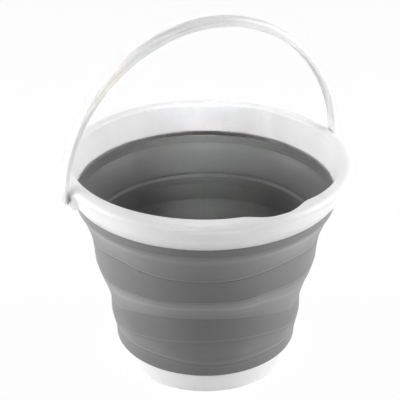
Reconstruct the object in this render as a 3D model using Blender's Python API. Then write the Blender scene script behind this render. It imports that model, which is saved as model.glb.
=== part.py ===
"""Collapsible camp bucket: a white polypropylene collar, base and bail joined by a folding grey body.

The body is one soft moulding with three folds. Between the folds it keeps stiff rings, and each
ring slips down round the one below it as its fold turns over. Metres, +Z up, origin at the middle
of the face that the bucket stands on. The bail turns about X and the spout points along -Y.
"""
import math

import bmesh
import bpy

# Heights of the white base and of each band of the soft body, from the floor up
base_height = 0.0250
base_band_height = 0.0115
lower_fold_height = 0.0210
middle_ring_height = 0.0220
middle_fold_height = 0.0350
upper_ring_taper_height = 0.0150
upper_ring_height = 0.0295
upper_fold_height = 0.0335
rim_band_height = 0.0127

# Heights of the collar's own parts, from its lower edge up
collar_chamfer_height = 0.0134
collar_skirt_height = 0.0124
lip_edge_height = 0.0045
lip_rise = 0.0045

# The lip's outer radius, and how far each band below it runs in towards the axis
lip_radius = 0.1575
lip_overhang = 0.0023
skirt_taper = 0.0020
collar_chamfer_run = 0.0101
rim_band_taper = 0.0028
upper_fold_run = 0.0155
upper_ring_taper = 0.0027
upper_ring_foot_taper = 0.0041
middle_fold_run = 0.0116
middle_ring_taper = 0.0003
lower_fold_run = 0.0044
base_band_taper = 0.0006
base_taper = 0.0059

# Inner faces of the collar, in from its foot and out again to the mouth
collar_foot_land = 0.0037
collar_draft = 0.0038
mouth_round = 0.0022
lip_flat_width = 0.0065
lip_undercut = 0.0009
lip_crown_shares = (0.38, 0.24)
lip_edge_fall_share = 0.8
mouth_round_shares = ((-0.35, 2.2), (0.0, 0.85), (0.32, 0.25))
corner_round_share = 0.18
corner_cut_share = 0.1

# Walls
ring_wall = 0.0026
fold_wall = 0.0020
tongue_wall = 0.0021
tongue_height = 0.0047
band_flange_wall = 0.0013
base_wall = 0.0024
base_lap_wall = 0.0014
base_lap_height = 0.0120
floor_thickness = 0.0025
foot_recess = 0.0015
foot_width = 0.0100
foot_round = 0.0010
floor_round = 0.0060
floor_round_share = 0.3

# The bead that stiffens the upper ring inside its top edge
bead_height = 0.0062
bead_depth = 0.0012

# The pouring spout, a scoop in the lip at the front
spout_half_angle = math.radians(17.0)
spout_flat_share = 0.3
spout_depth = 0.0075
spout_dip = 0.0016
spout_root_height = 0.0240
spout_reach_share = 0.8

# The ears on the collar and the bail that turns in them
pivot_drop = 0.0080
ear_half_width = 0.0115
ear_drop = 0.0095
ear_depth = 0.0110
ear_stand = 0.0007
ear_head_drop = 0.0005
socket_radius = 0.0043
socket_depth = 0.0085
peg_clearance = 0.0003
bail_side_clearance = 0.0021
bail_top_clearance = 0.0005
bail_end_width = 0.0106
bail_middle_width = 0.0144
bail_wall_height = 0.0049
bail_tail = 0.0070
bail_tail_shares = ((0.25, 1.0), (0.45, 0.96), (0.72, 0.78), (0.90, 0.50), (1.0, 0.2))
bail_swell_share = 0.7
bail_rim = 0.0012
crown_rise = 0.0052
crown_steps = 6
crown_angle = math.radians(7.0)
crown_swell_angle = math.radians(60.0)
channel_depth = 0.0032
channel_floor_share = 0.8
channel_angle = math.radians(12.0)
channel_fade_angle = math.radians(9.0)
least_relief = 0.0001

# The space left between pieces that touch, and how far a cutter runs past a face
seam = 0.0003
overrun = 0.0020

# Facets
turn_steps = 72
bail_steps = 44
hole_sides = 24
smooth_angle = math.radians(32.0)

# Outer and inner radii, worked out from the lip downwards
collar_shoulder_radius = lip_radius - lip_overhang
collar_corner_radius = collar_shoulder_radius - skirt_taper
collar_foot_radius = collar_corner_radius - collar_chamfer_run
upper_fold_top_radius = collar_foot_radius - rim_band_taper
upper_ring_top_radius = upper_fold_top_radius - upper_fold_run
upper_ring_step_radius = upper_ring_top_radius - upper_ring_taper
upper_ring_foot_radius = upper_ring_step_radius - upper_ring_foot_taper
middle_ring_top_radius = upper_ring_foot_radius - middle_fold_run
middle_ring_foot_radius = middle_ring_top_radius - middle_ring_taper
base_band_top_radius = middle_ring_foot_radius - lower_fold_run
base_top_radius = base_band_top_radius - base_band_taper
foot_radius = base_top_radius - base_taper
collar_foot_inner_radius = collar_foot_radius - collar_foot_land
collar_mouth_radius = collar_foot_inner_radius + collar_draft

# Levels, worked out from the heights
base_band_foot = base_height
lower_fold_foot = base_band_foot + base_band_height
middle_ring_foot = lower_fold_foot + lower_fold_height
middle_fold_foot = middle_ring_foot + middle_ring_height
upper_ring_foot = middle_fold_foot + middle_fold_height
upper_ring_step = upper_ring_foot + upper_ring_taper_height
upper_fold_foot = upper_ring_step + upper_ring_height
rim_band_foot = upper_fold_foot + upper_fold_height
collar_foot = rim_band_foot + rim_band_height
collar_corner = collar_foot + collar_chamfer_height
collar_shoulder = collar_corner + collar_skirt_height
lip_level = collar_shoulder + lip_edge_height
lip_top = lip_level + lip_rise
pivot_level = lip_level - pivot_drop
ear_face = lip_radius + ear_stand
half_seam = seam / 2


def clear_scene():
    for old in list(bpy.data.objects):
        bpy.data.objects.remove(old, do_unlink=True)


def plastic(name, color, roughness):
    material = bpy.data.materials.new(name)
    material.use_nodes = True
    shader = material.node_tree.nodes["Principled BSDF"]
    shader.inputs["Base Color"].default_value = (*color, 1.0)
    shader.inputs["Roughness"].default_value = roughness
    shader.inputs["Metallic"].default_value = 0.0
    material.diffuse_color = (*color, 1.0)
    return material


def place(name, bm, material, level=0.0):
    """Turn a bmesh into a smooth-shaded object whose origin stands at the given level."""
    bm.normal_update()
    bmesh.ops.recalc_face_normals(bm, faces=bm.faces)
    mesh = bpy.data.meshes.new(name)
    bm.to_mesh(mesh)
    bm.free()
    mesh.shade_smooth()
    mesh.set_sharp_from_angle(angle=smooth_angle)
    mesh.materials.append(material)
    piece = bpy.data.objects.new(name, mesh)
    piece.location = (0.0, 0.0, level)
    bpy.context.scene.collection.objects.link(piece)
    return piece


def turned(profile):
    """Spin a closed loop of (radius, height) points about Z into a ring, or a dish if it meets the axis."""
    bm = bmesh.new()
    verts = [bm.verts.new((radius, 0.0, height)) for radius, height in profile]
    edges = [bm.edges.new(pair) for pair in zip(verts, verts[1:] + verts[:1])]
    bmesh.ops.spin(bm, geom=verts + edges, cent=(0, 0, 0), axis=(0, 0, 1),
                   angle=2 * math.pi, steps=turn_steps, use_merge=True)
    bmesh.ops.remove_doubles(bm, verts=bm.verts, dist=seam / 100)
    on_axis = [edge for edge in bm.edges if not edge.link_faces]
    bmesh.ops.delete(bm, geom=on_axis, context='EDGES')
    return bm


def band(outer, wall):
    """Close a wall of even thickness behind outer points listed from the top down."""
    inner = [(radius - wall, height) for radius, height in reversed(outer)]
    return outer + inner


def combine(piece, tool, operation):
    tool.hide_render = True
    tool.display_type = 'WIRE'
    cut = piece.modifiers.new(f"{operation.lower()} {tool.name}", 'BOOLEAN')
    cut.operation = operation
    cut.solver = 'EXACT'
    cut.object = tool


def rod(name, radius, start, end, level):
    """A round rod along X between two distances from the middle."""
    bm = bmesh.new()
    bmesh.ops.create_cone(bm, cap_ends=True, segments=hole_sides, radius1=radius, radius2=radius,
                          depth=end - start)
    for vert in bm.verts:
        x, y, z = vert.co
        vert.co = (z + (start + end) / 2, y, x + level)
    return place(name, bm, soft_white)


def eased(share):
    share = min(1.0, max(0.0, share))
    return share * share * (3 - 2 * share)


# The white collar

def collar_profile():
    crown_in, crown_down = (lip_rise * share for share in lip_crown_shares)
    tongue_outer = collar_foot_inner_radius + tongue_wall
    mouth = [(collar_mouth_radius + mouth_round * out, lip_top - mouth_round * down)
             for out, down in mouth_round_shares]
    return [
        (collar_mouth_radius + mouth_round, lip_top),
        (collar_mouth_radius + mouth_round + lip_flat_width, lip_top),
        (lip_radius - crown_in, lip_top - crown_down),
        (lip_radius, lip_level),
        (lip_radius - lip_undercut, lip_level - lip_edge_height * lip_edge_fall_share),
        (collar_shoulder_radius, collar_shoulder),
        (collar_corner_radius, collar_corner + collar_chamfer_height * corner_round_share),
        (collar_corner_radius - collar_chamfer_height * corner_cut_share,
         collar_corner - collar_chamfer_height * corner_cut_share),
        (collar_foot_radius, collar_foot),
        (tongue_outer, collar_foot),
        (tongue_outer, collar_foot - tongue_height),
        (collar_foot_inner_radius, collar_foot - tongue_height),
    ] + mouth


def scoop_spout(bm):
    """Push the lip's inner edge out and down round the front, less and less away from it."""
    reach = (lip_radius - collar_mouth_radius) * spout_reach_share
    for vert in bm.verts:
        x, y, z = vert.co
        radius = math.hypot(x, y)
        angle = abs(math.atan2(x, -y))
        across = eased((spout_half_angle - angle) / (spout_half_angle * (1 - spout_flat_share)))
        up = eased((z - (lip_top - spout_root_height)) / spout_root_height)
        inward = eased((lip_radius - radius) / reach)
        if radius > collar_corner_radius and z < lip_level:
            continue
        strength = across * up * inward
        grown = (radius + spout_depth * strength) / radius
        vert.co = (x * grown, y * grown, z - spout_dip * strength)


def make_collar():
    bm = turned(collar_profile())
    scoop_spout(bm)
    collar = place("rim_collar", bm, soft_white)
    for side, word in ((-1, "left"), (1, "right")):
        bm = bmesh.new()
        bmesh.ops.create_cube(bm, size=1.0)
        foot = pivot_level - ear_drop
        head = lip_level - ear_head_drop
        for vert in bm.verts:
            x, y, z = vert.co
            vert.co = (side * (ear_face - ear_depth / 2 + x * ear_depth), y * 2 * ear_half_width,
                       (foot + head) / 2 + z * (head - foot))
        combine(collar, place(f"ear_tool_{word}", bm, soft_white), 'UNION')
        ends = sorted((side * (ear_face - socket_depth), side * (ear_face + overrun)))
        combine(collar, rod(f"socket_cutter_{word}", socket_radius, *ends, pivot_level), 'DIFFERENCE')
    return collar


# The soft body, band by band

def make_soft_body():
    tongue_outer = collar_foot_inner_radius + tongue_wall
    flange_inner = tongue_outer + seam
    place("rim_band", turned([
        (flange_inner + band_flange_wall, collar_foot - seam),
        (upper_fold_top_radius, rim_band_foot + half_seam),
        (upper_fold_top_radius - ring_wall, rim_band_foot + half_seam),
        (collar_foot_inner_radius, collar_foot - tongue_height - seam),
        (flange_inner, collar_foot - tongue_height - seam),
        (flange_inner, collar_foot - seam),
    ]), soft_grey)
    place("upper_fold", turned(band([
        (upper_fold_top_radius, rim_band_foot - half_seam),
        (upper_ring_top_radius, upper_fold_foot + half_seam),
    ], fold_wall)), soft_grey)
    ring_top = upper_fold_foot - half_seam
    inner_top = upper_ring_top_radius - ring_wall
    place("upper_ring", turned([
        (upper_ring_top_radius, ring_top),
        (upper_ring_step_radius, upper_ring_step),
        (upper_ring_foot_radius, upper_ring_foot + half_seam),
        (upper_ring_foot_radius - ring_wall, upper_ring_foot + half_seam),
        (upper_ring_step_radius - ring_wall, upper_ring_step - ring_wall),
        (inner_top, ring_top - bead_height - bead_depth),
        (inner_top - bead_depth, ring_top - bead_height),
        (inner_top - bead_depth, ring_top),
    ]), soft_grey)
    place("middle_fold", turned(band([
        (upper_ring_foot_radius, upper_ring_foot - half_seam),
        (middle_ring_top_radius, middle_fold_foot + half_seam),
    ], fold_wall)), soft_grey)
    place("middle_ring", turned(band([
        (middle_ring_top_radius, middle_fold_foot - half_seam),
        (middle_ring_foot_radius, middle_ring_foot + half_seam),
    ], ring_wall)), soft_grey)
    place("lower_fold", turned(band([
        (middle_ring_foot_radius, middle_ring_foot - half_seam),
        (base_band_top_radius, lower_fold_foot + half_seam),
    ], fold_wall)), soft_grey)
    lap_foot = base_height - base_lap_height
    lap_top_radius = base_top_radius - base_wall - seam
    lap_foot_radius = base_radius_at(lap_foot) - base_wall - seam
    place("base_band", turned([
        (base_band_top_radius, lower_fold_foot - half_seam),
        (base_top_radius, base_height + seam),
        (lap_top_radius, base_height + seam),
        (lap_foot_radius, lap_foot),
        (lap_foot_radius - base_lap_wall, lap_foot),
        (lap_top_radius - base_lap_wall, base_height + seam),
        (base_band_top_radius - ring_wall, lower_fold_foot - half_seam),
    ]), soft_grey)


# The white base

def base_radius_at(height):
    return foot_radius + (base_top_radius - foot_radius) * height / base_height


def make_base():
    floor_top = foot_recess + floor_thickness
    recess_radius = foot_radius - foot_round - foot_width
    wall_foot = floor_top + floor_round
    place("base_pan", turned([
        (base_top_radius, base_height),
        (base_radius_at(foot_round), foot_round),
        (foot_radius - foot_round, 0.0),
        (recess_radius, 0.0),
        (recess_radius - foot_recess, foot_recess),
        (0.0, foot_recess),
        (0.0, floor_top),
        (base_radius_at(floor_top) - base_wall - floor_round, floor_top),
        (base_radius_at(wall_foot) - base_wall - floor_round * floor_round_share,
         floor_top + floor_round * floor_round_share),
        (base_radius_at(wall_foot) - base_wall, wall_foot),
        (base_top_radius - base_wall, base_height),
    ]), soft_white)


# The bail, a half ellipse with a rounded back, thin rims and a channel underneath, about its own pivots

def bail_section(width, depth, crown, channel):
    """Corner points (across, inward) of the section, round the loop from one rim."""
    half, web = width / 2, width / 2 - bail_rim
    turns = [math.pi * step / crown_steps for step in range(crown_steps + 1)]
    back = [(-web * math.cos(turn), crown * (1 - math.sin(turn))) for turn in turns]
    floor = web * channel_floor_share
    return [(-half, crown)] + back + [
        (half, crown), (half, depth), (web, depth), (floor, depth - channel),
        (-floor, depth - channel), (-web, depth), (-half, depth),
    ]


def relief_at(angle, full, start, fade):
    from_end = min(angle, math.pi - angle)
    return least_relief + (full - least_relief) * eased((from_end - start) / fade)


def make_bail():
    half_span = lip_radius + bail_side_clearance + bail_wall_height
    height = lip_radius + bail_top_clearance + bail_wall_height + crown_rise
    arch = [(math.pi * step / bail_steps, 0.0, 1.0) for step in range(bail_steps + 1)]
    first_tail = [(0.0, -share * bail_tail, width) for share, width in reversed(bail_tail_shares)]
    last_tail = [(math.pi, -share * bail_tail, width) for share, width in bail_tail_shares]
    bm = bmesh.new()
    loops = []
    for angle, drop, width_share in first_tail + arch + last_tail:
        middle = math.sin(angle) ** bail_swell_share
        width = bail_end_width + (bail_middle_width - bail_end_width) * middle
        crown = relief_at(angle, crown_rise, crown_angle, crown_swell_angle)
        channel = relief_at(angle, channel_depth, channel_angle, channel_fade_angle)
        normal = (math.cos(angle) / half_span, math.sin(angle) / height)
        length = math.hypot(*normal)
        out_x, out_z = normal[0] / length, normal[1] / length
        loop = []
        for across, inward in bail_section(width, bail_wall_height + crown, crown, channel):
            loop.append(bm.verts.new((half_span * math.cos(angle) - out_x * inward,
                                      across * width_share,
                                      height * math.sin(angle) + drop - out_z * inward)))
        loops.append(loop)
    for first, second in zip(loops, loops[1:]):
        for index, corner in enumerate(first):
            following = (index + 1) % len(first)
            bm.faces.new((corner, first[following], second[following], second[index]))
    bm.faces.new(loops[0])
    bm.faces.new(loops[-1])
    bail = place("bail_handle", bm, soft_white, pivot_level)
    peg_end = ear_face - socket_depth + seam
    root = half_span - bail_wall_height / 2
    for side, word in ((-1, "left"), (1, "right")):
        ends = sorted((side * peg_end, side * root))
        combine(bail, rod(f"peg_tool_{word}", socket_radius - peg_clearance, *ends, pivot_level), 'UNION')
    return bail


clear_scene()
soft_white = plastic("white polypropylene", (0.86, 0.86, 0.86), 0.38)
soft_grey = plastic("grey elastomer", (0.145, 0.145, 0.147), 0.55)
make_base()
make_soft_body()
make_collar()
make_bail()
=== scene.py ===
import math

import bmesh
import bpy
import numpy as np
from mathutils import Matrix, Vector


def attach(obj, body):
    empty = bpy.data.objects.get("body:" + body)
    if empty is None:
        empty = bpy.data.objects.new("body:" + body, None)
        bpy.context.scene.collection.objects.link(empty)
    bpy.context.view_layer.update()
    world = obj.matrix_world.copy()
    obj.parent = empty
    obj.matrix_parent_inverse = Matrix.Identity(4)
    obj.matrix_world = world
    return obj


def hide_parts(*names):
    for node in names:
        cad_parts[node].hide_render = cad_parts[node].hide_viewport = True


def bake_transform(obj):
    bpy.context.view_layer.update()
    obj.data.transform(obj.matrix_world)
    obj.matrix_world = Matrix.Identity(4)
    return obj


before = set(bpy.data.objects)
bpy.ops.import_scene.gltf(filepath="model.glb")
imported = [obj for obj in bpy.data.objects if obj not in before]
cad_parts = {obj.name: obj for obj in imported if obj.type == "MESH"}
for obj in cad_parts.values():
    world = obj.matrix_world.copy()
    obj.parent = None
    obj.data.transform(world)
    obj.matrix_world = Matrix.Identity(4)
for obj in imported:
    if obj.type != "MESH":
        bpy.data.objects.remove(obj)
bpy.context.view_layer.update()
print("frame loaded,", len(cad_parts), "CAD nodes")

mm = 0.001  # shapes are worked out in millimetres and meshes are in metres


# Camera, set from the ellipses of the lip and the foot in the photograph

photoView = {
    "lookAt": (0.0, 0.0, 0.1865),
    "distance": 1.364,
    "azimuth": -28.0,    # degrees, 0 looks along +Y
    "elevation": 27.7,
    "lens": 112.5,
    "sensor": 36.0,
    "shiftX": -0.0135,   # the bucket stands 5 pixels right of the middle
    "clip": (0.05, 60.0),
}


def addFacing(name, data, azimuth, elevation, distance, aim):
    # a camera or lamp on a sphere round the point that it faces; degrees, azimuth 0 looks along +Y:
    # (sin turn cos rise, -cos turn cos rise, sin rise)
    turn, rise = math.radians(azimuth), math.radians(elevation)
    back = Vector((math.sin(turn) * math.cos(rise), -math.cos(turn) * math.cos(rise), math.sin(rise)))
    thing = bpy.data.objects.new(name, data)
    bpy.context.scene.collection.objects.link(thing)
    thing.location = Vector(aim) + back * distance
    thing.rotation_euler = (-back).to_track_quat("-Z", "Y").to_euler()
    return thing


def addCamera(view):
    data = bpy.data.cameras.new("photoCamera")
    data.lens, data.sensor_width, data.shift_x = view["lens"], view["sensor"], view["shiftX"]
    data.clip_start, data.clip_end = view["clip"]
    data.dof.use_dof = False
    bpy.context.scene.camera = addFacing("photoCamera", data, view["azimuth"], view["elevation"],
                                         view["distance"], view["lookAt"])


addCamera(photoView)
bpy.context.scene.view_settings.view_transform = "Standard"
facing = math.radians(photoView["azimuth"] - 90.0)   # direction from the axis to the camera
print("camera set")


# Small helpers for meshes

def eased(share):
    # 0 below 0, 1 above 1, and 3s^2 - 2s^3 between
    share = np.clip(share, 0.0, 1.0)
    return share * share * (3.0 - 2.0 * share)


def bump(offset, reach):
    # a bell: e to the power of minus the square of offset / reach
    return np.exp(-(offset / reach) ** 2)


def roundCorners(corners, rounding, steps):
    # each corner of a closed outline becomes the parabola between the two points that lie
    # one rounding away from it on its sides: (1-s)^2 a + 2s(1-s) corner + s^2 b; short sides
    # keep a tenth of their length straight
    before, after = np.roll(corners, 1, -2) - corners, np.roll(corners, -1, -2) - corners
    lengthBefore = np.linalg.norm(before, axis=-1, keepdims=True)
    lengthAfter = np.linalg.norm(after, axis=-1, keepdims=True)
    rounding = np.asarray(rounding, float)[..., None] if np.ndim(rounding) else rounding
    cut = np.minimum(rounding, 0.45 * np.minimum(lengthBefore, lengthAfter))
    a = corners + before / np.maximum(lengthBefore, 1e-9) * cut
    b = corners + after / np.maximum(lengthAfter, 1e-9) * cut
    s = np.linspace(0.0, 1.0, steps + 1)[:, None]
    arc = ((1 - s) ** 2 * a[..., None, :] + 2 * s * (1 - s) * corners[..., None, :]
           + s ** 2 * b[..., None, :])
    return arc.reshape(*corners.shape[:-2], -1, 2)


def fillRuns(outline, longest):
    # straight runs of a closed outline are cut into equal parts no longer than longest
    parts = []
    for start, end in zip(outline, np.roll(outline, -1, 0)):
        count = max(1, int(np.ceil(np.linalg.norm(end - start) / longest)))
        parts.append(start + (end - start) * (np.arange(count) / count)[:, None])
    return np.concatenate(parts)


def gridMesh(name, points, capped=False, sharpAngle=38.0):
    # quads over a grid of points (along, around), closed around, and along too unless capped
    along, around = points.shape[:2]
    index = np.arange(along * around).reshape(along, around)
    below, above = (index[:-1], index[1:]) if capped else (index, np.roll(index, -1, 0))
    quads = np.stack([below, np.roll(below, -1, 1), np.roll(above, -1, 1), above], -1).reshape(-1, 4)
    faces = quads.tolist()
    if capped:
        faces += [index[0].tolist(), index[-1, ::-1].tolist()]
    mesh = bpy.data.meshes.new(name)
    mesh.from_pydata((points.reshape(-1, 3) * mm).tolist(), [], faces)
    bm = bmesh.new()
    bm.from_mesh(mesh)
    bmesh.ops.remove_doubles(bm, verts=bm.verts, dist=1e-6)
    bm.normal_update()
    bmesh.ops.recalc_face_normals(bm, faces=bm.faces)
    bm.to_mesh(mesh)
    bm.free()
    mesh.shade_smooth()
    mesh.set_sharp_from_angle(angle=math.radians(sharpAngle))
    mesh.update()
    return mesh


def addPiece(name, mesh, material):
    piece = bpy.data.objects.new(name, mesh)
    bpy.context.scene.collection.objects.link(piece)
    mesh.materials.append(material)
    return piece


def turnedGrid(profile, angles):
    # every (radius, height) of the profile at every angle: (radius cos, radius sin, height)
    radius, height = profile[:, 0][None, :], profile[:, 1][None, :]
    angles = angles[:, None]
    return np.stack([radius * np.cos(angles), radius * np.sin(angles), height + 0 * angles], -1)


# Materials

def linear(hexColor):
    # sRGB to linear: c / 12.92 near black, ((c + 0.055) / 1.055) ^ 2.4 above
    channels = [int(hexColor[i:i + 2], 16) / 255 for i in (1, 3, 5)]
    return tuple(c / 12.92 if c <= 0.04045 else ((c + 0.055) / 1.055) ** 2.4 for c in channels) + (1.0,)


def addNode(tree, kind, values=None, feeds=None, **settings):
    node = tree.nodes.new(kind)
    for name, value in settings.items():
        setattr(node, name, value)
    for name, value in (values or {}).items():
        node.inputs[name].default_value = value
    for name, socket in (feeds or {}).items():
        tree.links.new(socket, node.inputs[name])
    return node


mixFactor, mixFirst, mixSecond, mixResult = 0, 6, 7, 2   # sockets of a colour Mix node

# moulded polypropylene: milky white, a satin face from the polished mould, faint flow clouds
polypropylene = {
    # name, lighter and darker cloud colour, and how far light runs into the milky plastic, which
    # is further in the thick collar
    "collar": ("collarPolypropylene", "#ededed", "#e5e5e5", 0.04),
    # the base is the same white plastic as the collar, painted lighter: painted light for the little
    # lamp light that reaches it down by the floor
    "base": ("basePolypropylene", "#fcfcfc", "#f8f8f8", 0.002),
    # the bail is the same white plastic as the collar, painted darker: painted shade against the strong
    # side lamps that fall on it
    "bail": ("bailPolypropylene", "#e0e0e0", "#dadada", 0.01),
    "cloud": 1 / 0.060,        # clouds about 60 mm across
    "cloudDetail": 3.0,
    "cloudRoughness": 0.5,
    "grain": 1 / 0.0016,       # the mould's grain is 0.1 mm; drawn at 1.6 mm so that it shows
    "grainHeight": 0.00001,
    "ior": 1.49,
    "smoothest": 0.34,
    "roughest": 0.46,
}

# moulded thermoplastic elastomer: mid grey, soft dull face that pales where it is seen edge on,
# with faint clouds and a few specks of dust
elastomer = {
    "light": "#6d6d6d",
    "dark": "#646464",
    "cloud": 1 / 0.045,
    "cloudDetail": 4.0,
    "cloudRoughness": 0.55,
    "grain": 1 / 0.0014,       # real grain about 0.2 mm, drawn coarser
    "grainHeight": 0.000025,
    "ior": 1.50,
    "smoothest": 0.42,
    "roughest": 0.56,
    "sheen": 0.5,
    "sheenRoughness": 0.5,
    "speck": 1 / 0.030,        # one cell in 30 mm may hold a speck
    "speckColor": "#505050",
    "speckSize": (0.022, 0.0352),   # share of a cell that is full colour, and where it ends
}


def makeMoulded(look, name, light, dark):
    # clouds that vary the colour and the gloss a little, and the mould's grain as a fine bump
    material = bpy.data.materials.new(name)
    material.use_nodes = True
    tree = material.node_tree
    shader = tree.nodes["Principled BSDF"]
    place = addNode(tree, "ShaderNodeTexCoord").outputs["Object"]
    clouds = addNode(tree, "ShaderNodeTexNoise",
                     {"Scale": look["cloud"], "Detail": look["cloudDetail"],
                      "Roughness": look["cloudRoughness"]}, {"Vector": place})
    color = addNode(tree, "ShaderNodeMix", {mixFirst: linear(dark), mixSecond: linear(light)},
                    {mixFactor: clouds.outputs["Fac"]}, data_type="RGBA")
    rough = addNode(tree, "ShaderNodeMapRange",
                    {"To Min": look["smoothest"], "To Max": look["roughest"]},
                    {"Value": clouds.outputs["Fac"]})
    grain = addNode(tree, "ShaderNodeTexNoise", {"Scale": look["grain"], "Detail": 2.0},
                    {"Vector": place})
    relief = addNode(tree, "ShaderNodeBump", {"Strength": 1.0, "Distance": look["grainHeight"]},
                     {"Height": grain.outputs["Fac"]})
    tree.links.new(color.outputs[mixResult], shader.inputs["Base Color"])
    tree.links.new(rough.outputs["Result"], shader.inputs["Roughness"])
    tree.links.new(relief.outputs["Normal"], shader.inputs["Normal"])
    shader.inputs["IOR"].default_value = look["ior"]
    return material, shader, place, color.outputs[mixResult]


def makePolypropylene(look, piece):
    name, light, dark, scatter = look[piece]
    material, shader = makeMoulded(look, name, light, dark)[:2]
    shader.inputs["Subsurface Weight"].default_value = 1.0
    shader.inputs["Subsurface Radius"].default_value = (1.0, 1.0, 1.0)
    shader.inputs["Subsurface Scale"].default_value = scatter
    return material


def makeElastomer(look):
    material, shader, place, color = makeMoulded(look, "mouldedElastomer", look["light"], look["dark"])
    tree = material.node_tree
    cells = addNode(tree, "ShaderNodeTexVoronoi", {"Scale": look["speck"], "Randomness": 1.0},
                    {"Vector": place})
    speck = addNode(tree, "ShaderNodeMapRange",
                    {"From Min": look["speckSize"][0], "From Max": look["speckSize"][1],
                     "To Min": 1.0, "To Max": 0.0}, {"Value": cells.outputs["Distance"]})
    dotted = addNode(tree, "ShaderNodeMix", {mixSecond: linear(look["speckColor"])},
                     {mixFactor: speck.outputs["Result"], mixFirst: color}, data_type="RGBA")
    tree.links.new(dotted.outputs[mixResult], shader.inputs["Base Color"])
    shader.inputs["Sheen Weight"].default_value = look["sheen"]
    shader.inputs["Sheen Roughness"].default_value = look["sheenRoughness"]
    return material


collarPlastic, basePlastic, bailPlastic = [makePolypropylene(polypropylene, piece)
                                           for piece in ("collar", "base", "bail")]
greyRubber = makeElastomer(elastomer)
print("materials made")


# The white collar: lip, pouring spout, skirt, chamfer, inner wall and the two ears

collar = {
    # the lip's crown is a quarter ellipse: centre radius and height, reach outwards and upwards
    "crown": (150.2, 234.7, 7.3, 5.3),
    "crownSteps": 14,
    "crownRounding": 0.2,
    "mouth": (141.1, 240.0, 2.8),     # radius, height and rounding of the lip's inner edge
    # radius, height and rounding of each corner below the crown, down the skirt and back up inside
    "corners": [
        (157.4, 233.8, 1.4), (155.6, 230.6, 2.4), (153.3, 219.0, 0.9), (143.1, 205.2, 0.7),
        (141.5, 205.2, 0.2), (141.5, 200.5, 0.2), (139.4, 200.5, 0.6),
    ],
    "longestRun": 1.1,
    "arcSteps": 6,
    "lipLine": (233.2, 0.16, 0.55),   # fine groove under the lip: height, depth and reach
    "spoutTurn": 2.0,
    "spoutHalfAngle": 16.0,
    "spoutFlat": 0.15,
    "spoutDepth": 6.9,
    "spoutDip": 0.9,
    "spoutRoot": 24.0,
    "spoutGain": 1.25,       # how soon the push reaches full strength on the way in from the lip
    "spoutWithin": 151.8,    # only the faces inside this radius or above this height move
    "spoutAbove": 235.5,
    # degrees off the spout's middle, reach and rise of the lip there
    "spoutShoulder": (15.5, 5.0, 0.5),
    "spoutArc": (246.25, 296.0, 0.5),    # drawn finer from and to these angles, and the step there
    "plainStep": 1.0,
    # the mouth has crept wider across the camera's view than along it, and widest right of the
    # spout: growth, then degrees, reach and growth there
    "mouthCreep": 2.4,
    "mouthWide": (32.0, 15.0, 1.9),
    "mouthFade": (22.0, 20.0),    # from this far below the top, over this much height
    "mouthWithin": (151.0, 8.0),  # and inwards from this radius, over this much
    "earFace": 158.1,
    "earHalfWidth": 11.0,
    "earBottom": 218.0,
    "earFlank": 1.8,
    "earFoot": 1.2,
    "earTop": (236.5, 2.5),       # height where the ear ends, and its fade
    "earOuter": (150.2, 1.0),     # only faces outside this radius move, with this fade
    "earFine": (2.4, 0.15),       # drawn finer within these degrees of the flanks, and the step there
}


def collarSurface(part):
    # a turned profile; round the front its inner half moves out and down with an eased share of
    # angle, height and depth; at the ears its outer half moves out to a flat plane in the same way
    t = np.linspace(0.0, math.pi / 2, part["crownSteps"])[:, None]
    centre, height, out, rise = part["crown"]
    crown = np.hstack([centre + out * np.sin(t), height + rise * np.cos(t),
                       0 * t + part["crownRounding"]])
    profile = np.vstack([[part["mouth"]], crown, part["corners"]])
    outline = fillRuns(roundCorners(profile[:, :2], profile[:, 2], part["arcSteps"]), part["longestRun"])
    level, depth, reach = part["lipLine"]
    outline[:, 0] -= depth * bump(outline[:, 1] - level, reach) * (outline[:, 0] > centre)
    plain = np.radians(np.arange(0.0, 360.0, part["plainStep"]))
    spoutFine = np.radians(np.arange(*part["spoutArc"]))
    edge = np.degrees(math.asin(part["earHalfWidth"] / part["earFace"]))
    near, step = part["earFine"]
    earFine = np.concatenate([np.arange(-near, near, step) + side * edge + half
                              for side in (-1, 1) for half in (0.0, 180.0)])
    angles = np.unique(np.round(np.concatenate([plain, spoutFine, np.radians(earFine % 360.0)]), 6))
    points = turnedGrid(outline, angles)
    x, y, z = points[..., 0], points[..., 1], points[..., 2]
    radius, lipRadius = np.hypot(x, y), profile[:, 0].max()
    top, mouth = profile[:, 1].max(), part["mouth"][0]
    away = np.abs(np.degrees(np.arctan2(x, -y)) - part["spoutTurn"])
    across = eased((part["spoutHalfAngle"] - away) / (part["spoutHalfAngle"] * (1 - part["spoutFlat"])))
    up = eased((z - (top - part["spoutRoot"])) / part["spoutRoot"])
    inward = (lipRadius - radius) / (lipRadius - mouth)
    inside = (radius < part["spoutWithin"]) | (z > part["spoutAbove"])
    strength = across * up * eased(inward * part["spoutGain"]) * inside
    grown = 1.0 + part["spoutDepth"] * strength / radius
    at, reach, rise = part["spoutShoulder"]
    shoulder = rise * bump(away - at, reach) * up * inside * eased(inward)
    x, y, z = x * grown, y * grown, z - part["spoutDip"] * strength + shoulder
    turn = np.arctan2(y, x)
    at, reach, wide = part["mouthWide"]
    creep = (part["mouthCreep"] * (1 - np.cos(2 * (turn - facing))) / 2
             + wide * bump(np.degrees(np.arctan2(x, -y)) - at, reach))
    (depth, rise), (limit, fade) = part["mouthFade"], part["mouthWithin"]
    grown = 1.0 + creep * eased((z - (top - depth)) / rise) * eased((limit - radius) / fade) / radius
    x, y = x * grown, y * grown
    side = np.sign(x)
    (start, fade), (end, endFade) = part["earOuter"], part["earTop"]
    reach = eased((part["earHalfWidth"] - np.abs(y)) / part["earFlank"] + 0.5)
    level = eased((z - part["earBottom"]) / part["earFoot"] + 0.5) * eased((end - z) / endFade)
    ear = eased((radius - start) / fade) * reach * level
    x = x + (side * part["earFace"] - x) * ear
    return np.stack([x, y, z], -1)


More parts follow.
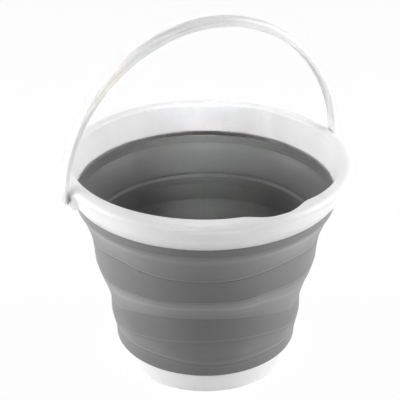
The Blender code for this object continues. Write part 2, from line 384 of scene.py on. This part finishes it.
collarMesh = gridMesh("collar_moulding", collarSurface(collar))
rimCollar = addPiece("collar_moulding", collarMesh, collarPlastic)
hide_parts("rim_collar")
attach(rimCollar, "rim")
print("collar made")


# The grey folding body: one moulding, drawn in three pieces that part in the middle of its rings

body = {
    # outer radius at heights above the floor, from the lap inside the base to the collar's foot
    "outer": [
        (101.10, 25.3), (101.35, 30.0), (101.70, 35.8), (101.95, 37.4), (103.10, 43.0),
        (104.60, 50.0), (105.70, 55.5), (106.15, 58.5), (106.35, 68.0), (106.40, 77.0),
        (106.75, 80.5), (107.60, 84.5), (109.30, 91.0), (111.60, 98.5), (114.30, 106.5),
        (117.20, 113.5), (119.40, 120.0), (121.20, 126.0), (122.10, 130.0), (122.75, 137.5),
        (123.60, 145.5), (124.40, 151.5), (124.95, 155.5), (125.35, 158.6), (126.10, 161.3),
        (127.90, 167.0), (131.40, 176.0), (135.30, 184.5), (139.30, 191.3), (140.35, 193.5),
        (141.40, 198.0), (142.75, 204.9),
    ],
    # the lap in the base, from the outside in, and how far above it the inside starts
    "lap": [(98.38, 25.30), (95.55, 13.0), (94.15, 13.0), (96.98, 24.6)],
    "lapGap": 0.9,
    "ringWall": 2.6,
    "foldWall": 2.0,
    # the stiff rings: height and fade of the lower edge, then of the upper edge
    "rings": [
        (25.0, 2.0, 40.0, 0.001), (57.5, 2.0, 79.5, 2.0), (129.5, 1.5, 159.0, 1.5),
        (192.2, 0.9, 999.0, 1.0),
    ],
    "bead": (0.9, 149.0, 1.4, 157.2, 1.0),   # depth, then height and fade of each edge
    "groove": (1.0, 158.9, 1.3),             # depth, height and reach
    # the upper edge and the step in its inside, from the outside in
    "step": [(141.80, 204.9), (141.80, 200.2), (139.4, 200.2)],
    "stepGap": 0.1,
    # the creases, named by what lies above them, and how far each runs up or down at angles from
    # the side that faces the camera, in degrees and millimetres, read from the photograph
    "creases": {
        "base": (25.3, [(0, 0.0)]),
        "lowerBand": (36.5, [(-180, 0.5), (-90, -1.0), (-53, 4.3), (-38, 5.2), (-25, 4.8), (-12, 2.4),
                             (0, 0.7), (12, 0.5), (40, 2.0), (90, -1.0), (135, 1.0)]),
        "middleFoot": (57.5, [(-180, 6.0), (-135, 2.0), (-90, -1.0), (-63, -1.5), (-55, -0.2),
                              (-39, 6.6), (-30, 8.6), (-16, 12.4), (0, 14.4), (9, 15.0), (20, 14.0),
                              (30, 12.5), (40, 10.0), (48, 6.8), (62, 0.5), (90, -1.0), (135, 2.0)]),
        "middleTop": (79.5, [(-180, 20.0), (-135, 8.0), (-90, -1.0), (-68, -3.0), (-59, 1.2), (-48, 9.2),
                             (-39, 13.5), (-22, 19.0), (-6, 21.0), (6, 21.0), (20, 18.8), (36, 14.0),
                             (47, 7.8), (59, 0.8), (75, -1.5), (90, -1.0), (135, 8.0)]),
        "upperFoot": (129.5, [(-180, -3.9), (-90, -1.0), (-58, -5.8), (-50, -6.2), (-37, -4.0),
                              (-23, -2.5), (-10, 0.0), (4, 0.9), (22, 0.2), (30, 2.4), (39, 1.8),
                              (52, -0.2), (90, 0.0), (135, -1.5)]),
        "upperTop": (159.0, [(-180, -2.1), (-90, -1.5), (-65, -3.2), (-55, 1.2), (-45, 3.1), (-36, 1.8),
                             (-23, -1.0), (-12, -1.5), (6, -1.7), (16, -0.8), (31, 2.5), (44, 4.0),
                             (53, 2.8), (65, -1.2), (90, -0.5), (135, 0.0)]),
        "band": (192.5, [(0, 0.0)]),
        "collar": (204.9, [(0, 0.0)]),
    },
    # fine lines along the creases: height, depth (out is positive), reach, all in the profile
    "lines": [
        (36.0, 0.15, 0.7), (38.1, -0.30, 0.9), (41.5, 0.18, 1.4), (56.8, -0.25, 0.9),
        (59.4, 0.12, 0.7), (80.2, -0.22, 0.8), (128.6, -0.25, 0.8), (130.4, 0.22, 0.7),
        (157.4, 0.12, 0.7), (159.2, -0.40, 0.8), (162.0, 0.10, 0.8), (193.4, -0.12, 1.0),
        (196.0, 0.10, 1.4),
    ],
    # swellings and dimples: degrees from the camera side, height, rise, reach around and up
    "dimples": [
        (-33.5, 157.0, 0.7, 2.6, 3.5), (-50.0, 67.0, 1.0, 8.0, 7.0), (-22.0, 48.0, 0.7, 8.0, 6.0),
        (21.0, 50.0, 0.7, 9.0, 6.0),
    ],
    "splits": (68.5, 143.5),
    "fineReach": (-2.4, 2.5),
    "fineStep": 0.45,
    "leastStep": 0.2,
    "plainStep": 1.5,
    "angleStep": 1.0,
    "sharpAngle": 50.0,
}


def throughPoints(levels, values, at):
    # a cubic curve through measured points, with the mean slope at each one: with s along a run,
    # (2s^3 - 3s^2 + 1) a + (s^3 - 2s^2 + s) run slopeA + (3s^2 - 2s^3) b + (s^3 - s^2) run slopeB
    slopes = np.gradient(values, levels)
    upper = np.clip(np.searchsorted(levels, at, side="right"), 1, len(levels) - 1)
    run = levels[upper] - levels[upper - 1]
    s = np.clip((at - levels[upper - 1]) / run, 0.0, 1.0)
    return ((2 * s ** 3 - 3 * s ** 2 + 1) * values[upper - 1]
            + (s ** 3 - 2 * s ** 2 + s) * run * slopes[upper - 1]
            + (3 * s ** 2 - 2 * s ** 3) * values[upper] + (s ** 3 - s ** 2) * run * slopes[upper])


def smoothRadius(part, heights):
    # the curve through the body's measured radii
    radii, levels = np.array(part["outer"]).T
    return throughPoints(levels, radii, heights)


def awayFromCamera(angles):
    # degrees from the side that faces the camera, -180 to 180
    return np.degrees((angles - facing + math.pi) % (2 * math.pi) - math.pi)


def creaseShift(part, heights, angles):
    # each crease's own rise at an angle is a closed curve through the measured ones; between two
    # creases the rise is shared out in proportion to the height
    away = awayFromCamera(angles)
    levels, curves = zip(*part["creases"].values())
    rises = []
    for measured in curves:
        turned, rise = np.array(measured, float).T
        span = np.concatenate([turned - 360, turned, turned + 360])
        rises.append(throughPoints(span, np.tile(rise, 3), away))
    levels, rises = np.array(levels), np.array(rises)
    upper = np.clip(np.searchsorted(levels, heights, side="right"), 1, len(levels) - 1)
    share = np.clip((heights - levels[upper - 1]) / (levels[upper] - levels[upper - 1]), 0.0, 1.0)
    return (rises[upper - 1] + (rises[upper] - rises[upper - 1]) * share[:, None]).T


def bodyHeights(part, low, high):
    # rows close together at the fine lines and creases, wider between them
    fine = [line[0] + np.arange(*part["fineReach"], part["fineStep"]) for line in part["lines"]]
    plain = np.arange(low, high, part["plainStep"])
    rows = np.concatenate(fine + [plain, [low, high]])
    rows = np.unique(np.round(rows[(rows >= low) & (rows <= high)], 3))
    return rows[np.concatenate([[True], np.diff(rows) > part["leastStep"]])]


def outerRadius(part, heights):
    # the measured curve with the fine lines added as bells
    radius = smoothRadius(part, heights)
    return radius + sum(depth * bump(heights - level, reach) for level, depth, reach in part["lines"])


def innerRadius(part, heights):
    # the outer curve less a wall that is thick at the rings and thin in the folds; inside the
    # upper ring's top edge a bead stands in, with a groove above it
    radius = smoothRadius(part, heights)
    ring = sum(eased((heights - low) / fade) * eased((high - heights) / highFade)
               for low, fade, high, highFade in part["rings"])
    wall = part["foldWall"] + (part["ringWall"] - part["foldWall"]) * np.clip(ring, 0, 1)
    depth, low, fade, high, highFade = part["bead"]
    bead = depth * eased((heights - low) / fade) * eased((high - heights) / highFade)
    depth, level, reach = part["groove"]
    return radius - wall - bead + depth * bump(heights - level, reach)


def bodyPiece(name, part, low, high, top=(), bottom=()):
    # down the outside, round the lower edge, up the inside and round the upper edge; the inside
    # starts above the lap in the base and stops below the step at the collar; the turned profile
    # is widened by the dimples, each a bell around times a bell up, and lifted by the creases
    heights = bodyHeights(part, low, high)
    outerLine = np.stack([outerRadius(part, heights), heights], -1)[::-1]
    innerLine = np.stack([innerRadius(part, heights), heights], -1)
    if len(bottom):
        innerLine = innerLine[innerLine[:, 1] > bottom[0][1] + part["lapGap"]]
    if len(top):
        innerLine = innerLine[innerLine[:, 1] < top[-1][1] - part["stepGap"]]
    profile = np.concatenate([np.array(line) for line in (outerLine, bottom, innerLine, top[::-1])
                              if len(line)])
    angles = np.radians(np.arange(0.0, 360.0, part["angleStep"]))
    points = turnedGrid(profile, angles)
    away = awayFromCamera(angles)[:, None]
    dent = sum(depth * bump(away - at, around) * bump(profile[:, 1][None, :] - level, up)
               for at, level, depth, around, up in part["dimples"])
    scale = 1.0 + dent / profile[:, 0][None, :]
    points[..., 0] *= scale
    points[..., 1] *= scale
    points[..., 2] += creaseShift(part, profile[:, 1], angles)
    return addPiece(name, gridMesh(name, points, sharpAngle=part["sharpAngle"]), greyRubber)


lowSplit, highSplit = body["splits"]
lowest, highest = body["outer"][0][1], body["outer"][-1][1]
upperBody = bodyPiece("body_upper", body, highSplit, highest, top=body["step"])
middleBody = bodyPiece("body_middle", body, lowSplit, highSplit)
lowerBody = bodyPiece("body_lower", body, lowest, lowSplit, bottom=body["lap"])
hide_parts("rim_band", "upper_fold", "upper_ring")
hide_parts("middle_fold", "middle_ring")
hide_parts("lower_fold", "base_band")
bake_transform(upperBody)
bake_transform(middleBody)
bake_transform(lowerBody)
print("folding body made")


# The white base

base = {
    # radius, height and rounding of each corner, out along the inside floor, up, over the edge,
    # down the outside and in again underneath
    "corners": [
        (0.0, 4.0, 0.0), (86.2, 4.0, 5.0), (93.6, 10.5, 6.0), (98.7, 25.0, 0.5), (101.1, 25.0, 0.7),
        (96.25, 5.3, 0.4), (95.6, 4.7, 0.3), (95.85, 4.0, 0.4), (95.2, 0.0, 1.3), (84.0, 0.0, 0.8),
        (82.5, 1.5, 0.8), (0.0, 1.5, 0.0),
    ],
    "longestRun": 3.0,
    "arcSteps": 5,
    "angleStep": 1.5,
    "axisGap": 0.5,      # points nearer the axis than this give way to the one on it
}


def baseSurface(part):
    # a turned dish whose profile starts and ends on the axis
    profile = np.array(part["corners"])
    outline = fillRuns(roundCorners(profile[:, :2], profile[:, 2], part["arcSteps"]), part["longestRun"])
    outline = outline[outline[:, 0] > part["axisGap"]]
    outline = np.concatenate([profile[:1, :2], outline, profile[-1:, :2]])
    return turnedGrid(outline, np.radians(np.arange(0.0, 360.0, part["angleStep"])))


basePan = addPiece("base_moulding", gridMesh("base_moulding", baseSurface(base)), basePlastic)
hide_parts("base_pan")
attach(basePan, "base")
print("base made")


# The white bail, a half ellipse that turns on pegs in the ears; its back is rounded between two
# thin rims, and a channel runs underneath

bail = {
    "halfSpan": 164.5,
    "rise": 168.1,
    "pivot": 227.5,
    "tail": 7.0,
    "tailSteps": (4, 9),         # stations down its straight part and round its end
    "endRound": 5.3,
    "endLeast": 0.02,            # square of the width that is left at the very end
    "endWidth": 10.6,
    "middleWidth": 14.2,
    "swell": 0.7,
    "wall": 4.9,
    "rim": 1.3,
    # height over the rims or depth, then the degrees from the pivot where it starts and its fade
    "crown": (5.2, 5.0, 66.0),
    "channel": (3.0, 9.0, 12.0),
    "channelFoot": (0.85, 1.6),  # share of the width that its floor takes, and its softer edge
    "least": 0.02,
    "edge": 0.55,
    "edgeSteps": 4,
    "steps": 150,
    "backSteps": 21,
    "pegRadius": 4.0,
    "pegEnds": (162.0, 150.2),
    "pegTip": [(0.8, 0.0), (0.25, 0.25), (0.0, 0.9)],   # distance from the tip, and radius lost there
    "pegSteps": 32,
}


def bailSurface(part):
    # stations along a half ellipse, x = a cos t and z = b sin t, with straight tails below the
    # pivots; across each one lie the walls, rims and channel with softened edges, and between the
    # rims half an ellipse, y = -w cos u and height c sin u
    turn = np.linspace(0.0, math.pi, part["steps"] + 1)
    straight, rounded = part["tailSteps"]
    endFrom = part["tail"] - part["endRound"]
    tail = np.concatenate([np.linspace(endFrom, 0.0, straight)[1:-1][::-1],
                           endFrom + part["endRound"] * np.sin(np.linspace(0, math.pi / 2, rounded))])
    past = ((tail - part["tail"] + part["endRound"]) / part["endRound"]).clip(0)
    narrow = np.sqrt(np.clip(1 - past ** 2, part["endLeast"], 1))
    angle = np.concatenate([np.zeros(len(tail)), turn, np.full(len(tail), math.pi)])
    drop = np.concatenate([tail[::-1], np.zeros(len(turn)), tail])
    narrow = np.concatenate([narrow[::-1], np.ones(len(turn)), narrow])
    swell = np.sin(angle).clip(0) ** part["swell"]
    half = (part["endWidth"] + (part["middleWidth"] - part["endWidth"]) * swell) / 2
    fromEnd = np.degrees(np.minimum(angle, math.pi - angle))
    crown, channel = [part["least"] + (size - part["least"]) * eased((fromEnd - start) / fade)
                      for size, start, fade in (part["crown"], part["channel"])]
    web, depth = half - part["rim"], part["wall"] + crown
    share, soft = part["channelFoot"]
    corners = [(-half, crown, 1.0), (-web, crown, 0.0), (web, crown, 0.0), (half, crown, 1.0),
               (half, depth, 1.0), (web, depth, 1.0), (web * share, depth - channel, soft),
               (-web * share, depth - channel, soft), (-web, depth, 1.0), (-half, depth, 1.0)]
    section = np.stack([np.stack(corner[:2], -1) for corner in corners], 1)
    rounding = part["edge"] * np.array([corner[2] for corner in corners])
    section = roundCorners(section, rounding, part["edgeSteps"])
    u = np.linspace(0.0, math.pi, part["backSteps"])[1:-1]
    back = np.stack([-web[:, None] * np.cos(u), crown[:, None] * (1 - np.sin(u))], -1)
    backAt = 2 * (part["edgeSteps"] + 1)     # between the two rims, after their corners
    section = np.concatenate([section[:, :backAt], back, section[:, backAt:]], 1)
    normal = np.stack([np.cos(angle) / part["halfSpan"], np.sin(angle) / part["rise"]], -1)
    normal /= np.linalg.norm(normal, axis=-1, keepdims=True)
    x = part["halfSpan"] * np.cos(angle)[:, None] - normal[:, :1] * section[..., 1]
    y = section[..., 0] * narrow[:, None]
    z = part["pivot"] + (part["rise"] * np.sin(angle) - drop)[:, None] - normal[:, 1:] * section[..., 1]
    return np.stack([x, y, z], -1)


def pegSurface(part, side):
    # a round rod along X with a rounded tip: (x, r cos turn, r sin turn)
    root, tip = part["pegEnds"]
    along = np.array([root] + [tip + distance for distance, lost in part["pegTip"]])
    radius = part["pegRadius"] - np.array([0.0] + [lost for distance, lost in part["pegTip"]])
    turn = np.linspace(0, 2 * math.pi, part["pegSteps"], endpoint=False)
    return np.stack([side * along[:, None] + 0 * turn, radius[:, None] * np.cos(turn),
                     part["pivot"] + radius[:, None] * np.sin(turn)], -1)


bailMesh = gridMesh("bail_moulding", bailSurface(bail), capped=True)
bm = bmesh.new()
bm.from_mesh(bailMesh)
for side in (-1, 1):
    bm.from_mesh(gridMesh("peg", pegSurface(bail, side), capped=True))
bm.to_mesh(bailMesh)
bm.free()
bailHandle = addPiece("bail_moulding", bailMesh, bailPlastic)
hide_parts("bail_handle")
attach(bailHandle, "bail")
print("bail made")


# Floor and light

studio = {
    "floorColor": "#f2f2f2",
    "floorRadius": 6.0,
    "floorSides": 64,
    "floorGlow": 0.94,      # share of the camera's view of the floor that is plain white
    "floorLight": 0.13,     # the sweep is lit from beneath
    "worldStrength": 0.0,
    "glossStrength": 0.8,   # what shows in the plastic's faint reflections
    "lampDistance": 1.9,
    "lampAim": 0.15,        # height that the softboxes face
    # name, degrees to the camera's right, elevation, point aimed at (behind the middle, height),
    # spread of the beam in degrees, width, watts
    "spots": [
        ("middleSpot", 0.0, 33.0, (0.13, 0.230), 6.5, 0.06, 0.024),
        ("leftSpot", -34.0, 33.0, (0.12, 0.220), 6.5, 0.06, 0.021),
        ("rightSpot", 34.0, 33.0, (0.12, 0.220), 6.5, 0.06, 0.021),
        ("lowSpot", 0.0, 39.0, (0.09, 0.090), 4.0, 0.06, 0.010),
        ("baseSpot", 0.0, 8.0, (-0.09, 0.000), 6.0, 0.30, 0.007),
    ],
    # name, degrees to the camera's right, elevation, width, height, watts
    "lamps": [
        ("leftSoftbox", -90.0, 18.0, 1.2, 1.2, 36.0),
        ("rightSoftbox", 90.0, 18.0, 1.2, 1.2, 36.0),
        ("topSoftbox", 180.0, 60.0, 1.6, 1.4, 9.0),
        ("frontSoftbox", -30.0, 12.0, 1.4, 0.8, 4.0),
    ],
}


def makeFloor(look):
    # a disc of white paper; the camera sees most of it as plain white and the rest as it is lit
    material = bpy.data.materials.new("whiteSweep")
    material.use_nodes = True
    tree = material.node_tree
    tree.nodes.clear()
    paper = addNode(tree, "ShaderNodeBsdfDiffuse", {"Color": linear(look["floorColor"])})
    under = addNode(tree, "ShaderNodeEmission", {"Color": (1, 1, 1, 1), "Strength": look["floorLight"]})
    lit = addNode(tree, "ShaderNodeAddShader", None, {0: paper.outputs[0], 1: under.outputs[0]})
    glow = addNode(tree, "ShaderNodeEmission", {"Color": (1, 1, 1, 1), "Strength": 1.0})
    rays = addNode(tree, "ShaderNodeLightPath")
    share = addNode(tree, "ShaderNodeMath", {1: look["floorGlow"]}, {0: rays.outputs["Is Camera Ray"]},
                    operation="MULTIPLY")
    both = addNode(tree, "ShaderNodeMixShader", None,
                   {0: share.outputs[0], 1: lit.outputs[0], 2: glow.outputs[0]})
    addNode(tree, "ShaderNodeOutputMaterial", None, {"Surface": both.outputs[0]})
    mesh = bpy.data.meshes.new("floor")
    turn = np.linspace(0, 2 * math.pi, look["floorSides"], endpoint=False)
    rim = np.stack([np.cos(turn), np.sin(turn), 0 * turn], -1) * look["floorRadius"]
    mesh.from_pydata(rim.tolist(), [], [list(range(look["floorSides"]))])
    mesh.materials.append(material)
    floor = bpy.data.objects.new("floor", mesh)
    bpy.context.scene.collection.objects.link(floor)


def makeWorld(look):
    # white to the camera, and dimmer to the faint reflections and to the light it gives
    world = bpy.data.worlds.new("studio")
    bpy.context.scene.world = world
    world.use_nodes = True
    tree = world.node_tree
    tree.nodes.clear()
    rays = addNode(tree, "ShaderNodeLightPath").outputs
    dim, gloss, white = [addNode(tree, "ShaderNodeBackground",
                                 {"Color": (1, 1, 1, 1), "Strength": strength})
                         for strength in (look["worldStrength"], look["glossStrength"], 1.0)]
    seen = addNode(tree, "ShaderNodeMath", None,
                   {0: rays["Is Camera Ray"], 1: rays["Is Transmission Ray"]}, operation="MAXIMUM")
    mirrored = addNode(tree, "ShaderNodeMixShader", None,
                       {0: rays["Is Glossy Ray"], 1: dim.outputs[0], 2: gloss.outputs[0]})
    both = addNode(tree, "ShaderNodeMixShader", None,
                   {0: seen.outputs[0], 1: mirrored.outputs[0], 2: white.outputs[0]})
    addNode(tree, "ShaderNodeOutputWorld", None, {"Surface": both.outputs[0]})


def addLamp(look, name, shape, right, rise, aim, watts):
    # a lamp that the camera doesn't see; its size is left to the caller
    data = bpy.data.lights.new(name, "AREA")
    data.shape, data.energy = shape, watts
    lamp = addFacing(name, data, photoView["azimuth"] + right, rise, look["lampDistance"], aim)
    lamp.visible_camera = False
    return data


def addLamps(look):
    # large softboxes that face the bucket's middle
    for name, right, rise, width, height, watts in look["lamps"]:
        data = addLamp(look, name, "RECTANGLE", right, rise, (0.0, 0.0, look["lampAim"]), watts)
        data.size, data.size_y = width, height


def addSpots(look):
    # round lamps with a narrow beam, from above the camera down into the mouth, and one low at
    # the front of the base
    away = math.radians(photoView["azimuth"])
    for name, right, rise, (reach, height), spread, width, watts in look["spots"]:
        aim = (-math.sin(away) * reach, math.cos(away) * reach, height)
        data = addLamp(look, name, "DISK", right, rise, aim, watts)
        data.size, data.spread = width, math.radians(spread)


makeFloor(studio)
makeWorld(studio)
addLamps(studio)
addSpots(studio)
print("studio made")
